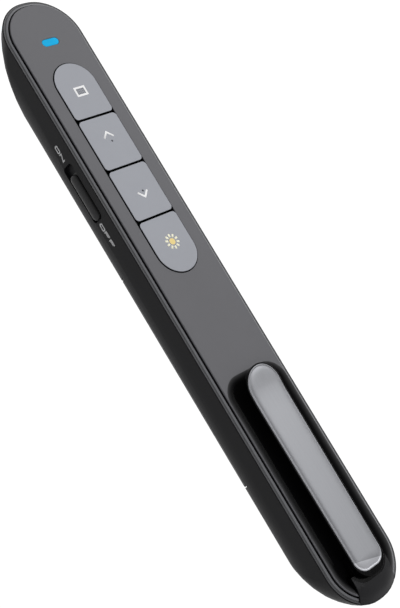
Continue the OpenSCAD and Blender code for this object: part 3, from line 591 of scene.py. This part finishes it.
def plate():
    """Silver plate of the clip: a low pillow with a fine rounded rim and a bevelled tail end."""
    f = Form()
    end = ARM_END + PLATE_GAP
    deepest, crown = PLATE_CROWN[-1]

    def height(lift):
        def at(x, y):
            bevel = max(0.0, 1 - (y - end) / (FACET_LEN - FACET_TURN * x)) * max(0.0, lift) / crown
            return ARM_TOP + lift + flare(y) - FACET_DROP * bevel
        return at

    rows = [f.row(clip_plan(PLATE_BORDER + draw, end + draw, PLATE_END_R - draw), height(lift))
            for draw, lift in PLATE_CROWN]
    f.skin(rows)
    middle = clip_plan(PLATE_BORDER + deepest, end + deepest, 0)
    f.bridge(rows[0], f.row(middle, lambda x, y: ARM_TOP - PLATE_SINK + flare(y)))
    f.piece("plate", "clip", "clip_silver", silver_with_painted_facet_highlight(), replaces=("clip_plate",))


SLIDER_SIZE = (5.5, 1.45, 0.7)          # half length, half height and corner radius
SLIDER_DEPTHS = (0.8, 0.65)             # below the wall's face
RIDGE_SIZE, RIDGE_DROP = (5.4, 1.15, 1.13), 0.3
# From the ridge's outline inward, and below the wall's face.
KNOB_RIDGE = ((0.0, 0.75), (0.0, 0.35), (0.05, 0.18), (0.14, 0.04), (0.28, -0.09), (0.45, -0.19),
              (0.65, -0.27), (0.88, -0.32), (1.1, -0.34))


def knob():
    """Rounded ridge of the side switch on its flat slider."""
    f = Form()

    def ring(size, depth, z):
        half_len, half_h, r = size
        x, y = half_len - r, half_h - r
        spots = (arc(x, y, r, 0, 90, 8) + arc(-x, y, r, 90, 180, 8)
                 + arc(-x, -y, r, 180, 270, 8) + arc(x, -y, r, 270, 360, 8))
        return [f.bm.verts.new((-HW + depth, KNOB_Y + u, z + v)) for u, v in spots]

    slider = [ring(SLIDER_SIZE, depth, KNOB_Z) for depth in SLIDER_DEPTHS]
    ridge = [ring([size - draw for size in RIDGE_SIZE], depth, KNOB_Z - RIDGE_DROP)
             for draw, depth in KNOB_RIDGE]
    for rows in (slider, ridge):
        f.skin(rows)
        f.bm.faces.new(rows[0])
        f.bm.faces.new(rows[-1])
    f.piece("knob", "knob", "knob_grey", replaces=("switch_knob",))


# ---------------------------------------------------------------- printed marks


def on_key(u, v, lift):
    return (u, v, KEY_TOP + lift)


def screen_mark():
    """White outline of a screen, hatched inside."""
    f = Form()
    w, h, y = 1.26, 0.9, 48.3                   # half width, half height and middle
    bar, rung, border = 0.05, 0.04, 0.21        # half widths of the lines
    for k in range(1, 6):
        u = w * (k / 3 - 1)
        f.stroke([(u, y - h), (u, y + h)], bar, on_key, material=1)
    for k in range(1, 4):
        v = y + h * (k / 2 - 1)
        f.stroke([(-w, v), (w, v)], rung, lambda u, v, lift: on_key(u, v, lift * 0.5), material=1)
    corners = [(-w, y - h), (w, y - h), (w, y + h), (-w, y + h)]
    f.stroke(corners, border, lambda u, v, lift: on_key(u, v, lift * 1.3), closed=True)
    f.piece("screen_mark", "screen_key", "tongue_white", print_white, print_grey)


def page_mark(name, body, x, y, turn, dot):
    """White chevron, turned to the nose for 1 and to the tail for -1, with a small dark dot."""
    f = Form()
    w, h = 1.3, 0.65
    f.stroke([(x - w, y - turn * h), (x, y + turn * h), (x + w, y - turn * h)], 0.2, on_key)
    f.pad(arc(x + 0.25, y + dot, 0.22, 0, 345, 23), material=1)
    f.piece(name, body, "tongue_white", print_white, dark_dot)


def sun_mark():
    """A pale sun with ten rays."""
    f = Form()
    x, y, disc, rays = 0.25, 11.3, 0.72, (1.02, 1.72)
    f.pad(arc(x, y, disc, 0, 350, 35))
    for k in range(10):
        turn = math.radians(36 * k + 18)
        f.stroke([(x + math.cos(turn) * r, y + math.sin(turn) * r) for r in rays], 0.21, on_key, material=1)
    f.piece("sun_mark", "laser_key", "gold", sun_gold, sun_pale)


def legend(name, text, start, height):
    """Wide stroke letters on the left wall, read from the nose toward the tail."""
    w, h, step, cut = 1.5, 0.36, 1.95, 0.15         # width, half height, spacing and cut corners
    line, bar = 0.15, 0.13                          # half widths
    letters = {"O": (True, ((cut, -h), (w - cut, -h), (w, -h + cut), (w, h - cut),
                            (w - cut, h), (cut, h), (0, h - cut), (0, -h + cut))),
               "N": (False, ((0, -h), (0, h), (w, -h), (w, h))),
               "F": (False, ((0, -h), (0, h), (w, h)))}
    f = Form()
    for k, letter in enumerate(text):
        def on_wall(u, v, lift, shift=k * step):
            return (-HW - lift, start - shift - u, height + v)
        closed, path = letters[letter]
        f.stroke(path, line, on_wall, closed)
        if letter == "F":
            f.stroke(((line, 0), (w - 0.2, 0)), bar, on_wall)
    f.piece(name, "body", "tongue_white", legend_grey)


cover()
trim()
plate()
knob()
screen_mark()
page_mark("page_up_mark", "page_up_key", x=0.12, y=37.45, turn=1, dot=-1.55)
page_mark("page_down_mark", "page_down_key", x=0.25, y=22.85, turn=-1, dot=0.75)
sun_mark()
legend("mark_on", "ON", start=40.0, height=9.15)
legend("mark_off", "OFF", start=21.4, height=8.8)

# ---------------------------------------------------------------- camera, floor and light

CAMERA_AT = (-170.3, -34.5, 212.5)
CAMERA_RIGHT = (0.6946, -0.5114, 0.5059)
CAMERA_DOWN = (-0.3267, -0.8508, -0.4115)
CAMERA_FORWARD = (0.6409, 0.1205, -0.7581)
IMAGE_H, FOCAL, SENSOR_H = 608, 1300, 36        # pixels, pixels and millimetres


def camera():
    data = bpy.data.cameras.new("camera")
    data.sensor_fit = "VERTICAL"
    data.sensor_height = SENSOR_H
    data.lens = FOCAL / IMAGE_H * SENSOR_H
    data.clip_start, data.clip_end = 0.01, 20
    made = bpy.data.objects.new("camera", data)
    bpy.context.scene.collection.objects.link(made)
    axes = Matrix((CAMERA_RIGHT, [-v for v in CAMERA_DOWN], [-v for v in CAMERA_FORWARD])).transposed()
    made.matrix_world = Matrix.Translation(Vector(CAMERA_AT) * MM) @ axes.to_4x4()
    bpy.context.scene.camera = made
    bpy.context.scene.view_settings.view_transform = "Standard"


def area_light(name, at, size, power, target=(0, 0, 0.01)):
    """Soft light at a place in metres, turned to the object."""
    data = bpy.data.lights.new(name, "AREA")
    data.shape = "RECTANGLE"
    data.size, data.size_y = size
    data.energy = power
    made = bpy.data.objects.new(name, data)
    bpy.context.scene.collection.objects.link(made)
    made.location = at
    made.rotation_euler = (Vector(target) - Vector(at)).to_track_quat("-Z", "Y").to_euler()


def seen_rays(tree):
    """1 for camera, glossy and transmission rays."""
    path = tree.nodes.new("ShaderNodeLightPath")
    total = path.outputs["Is Camera Ray"]
    for other in ("Is Glossy Ray", "Is Transmission Ray"):
        most = tree.nodes.new("ShaderNodeMath")
        most.operation = "MAXIMUM"
        tree.links.new(total, most.inputs[0])
        tree.links.new(path.outputs[other], most.inputs[1])
        total = most.outputs[0]
    return total


def floor(reach=3.0, pale=0.25, glow=0.93, bounce=0.45):
    """A pale floor that looks white, keeps the object's shadow and lights the object from below."""
    mesh = bpy.data.meshes.new("floor")
    corners = ((-reach, -reach), (reach, -reach), (reach, reach), (-reach, reach))
    mesh.from_pydata([(x, y, FLOOR_Z * MM) for x, y in corners], [], [(0, 1, 2, 3)])
    made = bpy.data.objects.new("floor", mesh)
    bpy.context.scene.collection.objects.link(made)
    mat = bpy.data.materials.new("floor_white")
    mat.use_nodes = True
    tree = mat.node_tree
    tree.nodes.clear()

    def shader(kind, level=None, *inputs):
        made = tree.nodes.new(kind)
        if level is not None:
            made.inputs["Color"].default_value = (level, level, level, 1)
        for socket, value in inputs:
            tree.links.new(value, made.inputs[socket])
        return made.outputs[0] if made.outputs else None

    seen = shader("ShaderNodeAddShader", None, (0, shader("ShaderNodeBsdfDiffuse", pale)),
                  (1, shader("ShaderNodeEmission", glow)))
    picked = shader("ShaderNodeMixShader", None, (0, seen_rays(tree)),
                    (1, shader("ShaderNodeBsdfDiffuse", bounce)), (2, seen))
    shader("ShaderNodeOutputMaterial", None, (0, picked))
    mesh.materials.append(mat)


def world(horizon=0.9, overhead=0.35, from_height=0.1, to_height=0.6, light=0.5):
    """Soft studio surroundings, pale at the horizon and darker overhead, that light less than they show."""
    made = bpy.data.worlds.new("studio")
    bpy.context.scene.world = made
    made.use_nodes = True
    tree = made.node_tree
    back = tree.nodes["Background"]
    place = tree.nodes.new("ShaderNodeTexCoord")
    split = tree.nodes.new("ShaderNodeSeparateXYZ")
    ramp = tree.nodes.new("ShaderNodeMapRange")
    for socket, value in (("From Min", from_height), ("From Max", to_height),
                          ("To Min", horizon), ("To Max", overhead)):
        ramp.inputs[socket].default_value = value
    tree.links.new(place.outputs["Generated"], split.inputs[0])
    tree.links.new(split.outputs["Z"], ramp.inputs["Value"])
    tree.links.new(ramp.outputs["Result"], back.inputs["Color"])
    level = tree.nodes.new("ShaderNodeMapRange")
    level.inputs["To Min"].default_value = light
    tree.links.new(seen_rays(tree), level.inputs["Value"])
    tree.links.new(level.outputs["Result"], back.inputs["Strength"])


camera()
floor()
world()
area_light("key_light", (0.5, 0.3, 0.8), (1.0, 1.0), 5.2)
area_light("fill_light", (-0.7, -0.2, 0.5), (0.6, 0.4), 0.75)
